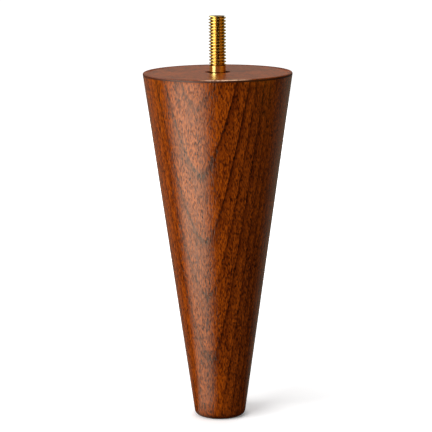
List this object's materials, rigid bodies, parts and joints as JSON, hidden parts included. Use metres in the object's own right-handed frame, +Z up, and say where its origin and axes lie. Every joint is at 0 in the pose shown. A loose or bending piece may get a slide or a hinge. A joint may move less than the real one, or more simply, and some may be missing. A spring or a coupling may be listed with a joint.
{
  "type": "furniture leg",
  "caption": "Turned wooden cone leg that tapers to a narrow foot, with a threaded metal stud standing out of its wide top face.",
  "frame": {"origin": "centre of the foot, on the floor", "axes": "+Z up along the leg's axis, out of the stud's free end; the leg is round, so +X and +Y are free and -Y faces the viewer of the picture"},
  "size_m": [0.068, 0.068, 0.1854],
  "materials": {
    "leg_wood": "walnut stain under satin lacquer",
    "bolt_brass": "brass-coloured plating, bright, unpolished thread"
  },
  "bodies": {
    "root": {"turned_leg": "leg_wood", "hanger_bolt": "bolt_brass"}
  },
  "joints": []
}
